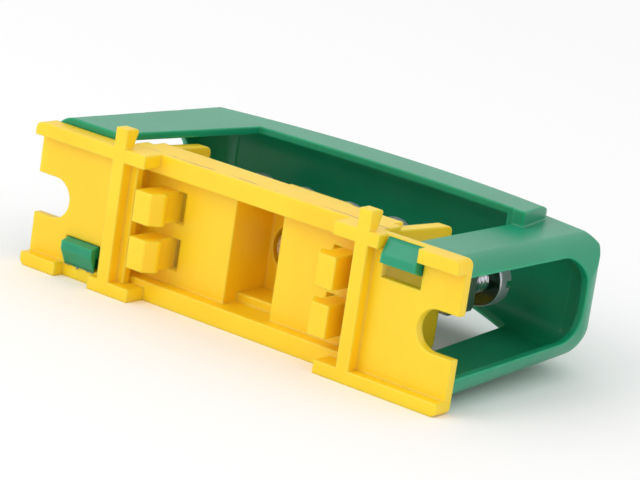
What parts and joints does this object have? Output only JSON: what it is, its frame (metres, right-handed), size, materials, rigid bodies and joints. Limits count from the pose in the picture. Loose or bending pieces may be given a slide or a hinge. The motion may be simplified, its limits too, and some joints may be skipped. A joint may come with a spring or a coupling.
{
  "type": "protective earth terminal block",
  "caption": "Rail-mounted earth terminal block: a moulded base with rail hooks carries a drilled metal bar with clamping screws under an arched cover that clips on.",
  "frame": {"origin": "middle of the block's box in X and Y, on the surface that the block lies on", "axes": "+X along the block, +Y from the rail side towards the cover's crown, +Z across the block's width, upwards as it lies on one long side"},
  "size_m": [0.09, 0.0518, 0.029],
  "materials": {
    "base_plastic": "satin moulded",
    "cover_plastic": "satin moulded",
    "bar_metal": "zinc plated",
    "screw_metal": "zinc plated"
  },
  "bodies": {
    "block": {"base": "base_plastic", "cover": "cover_plastic", "terminal_bar": "bar_metal", "fixing_screw": "screw_metal"},
    "screw_1": {"clamp_screw_1": "screw_metal"},
    "screw_2": {"clamp_screw_2": "screw_metal"},
    "screw_3": {"clamp_screw_3": "screw_metal"},
    "screw_4": {"clamp_screw_4": "screw_metal"},
    "screw_5": {"clamp_screw_5": "screw_metal"},
    "screw_6": {"clamp_screw_6": "screw_metal"}
  },
  "joints": [
    {"name": "screw_travel_1", "type": "slide", "parent": "block", "child": "screw_1", "axis": [0, 1, 0], "range_m": [-0.0047, 0.0008]},
    {"name": "screw_travel_2", "type": "slide", "parent": "block", "child": "screw_2", "axis": [0, 1, 0], "range_m": [-0.0047, 0.0008]},
    {"name": "screw_travel_3", "type": "slide", "parent": "block", "child": "screw_3", "axis": [0, 1, 0], "range_m": [-0.0047, 0.0008]},
    {"name": "screw_travel_4", "type": "slide", "parent": "block", "child": "screw_4", "axis": [0, 1, 0], "range_m": [-0.0047, 0.0008]},
    {"name": "screw_travel_5", "type": "slide", "parent": "block", "child": "screw_5", "axis": [0, 1, 0], "range_m": [-0.0047, 0.0008]},
    {"name": "screw_travel_6", "type": "slide", "parent": "block", "child": "screw_6", "axis": [0, 1, 0], "range_m": [-0.0047, 0.0008]}
  ]
}
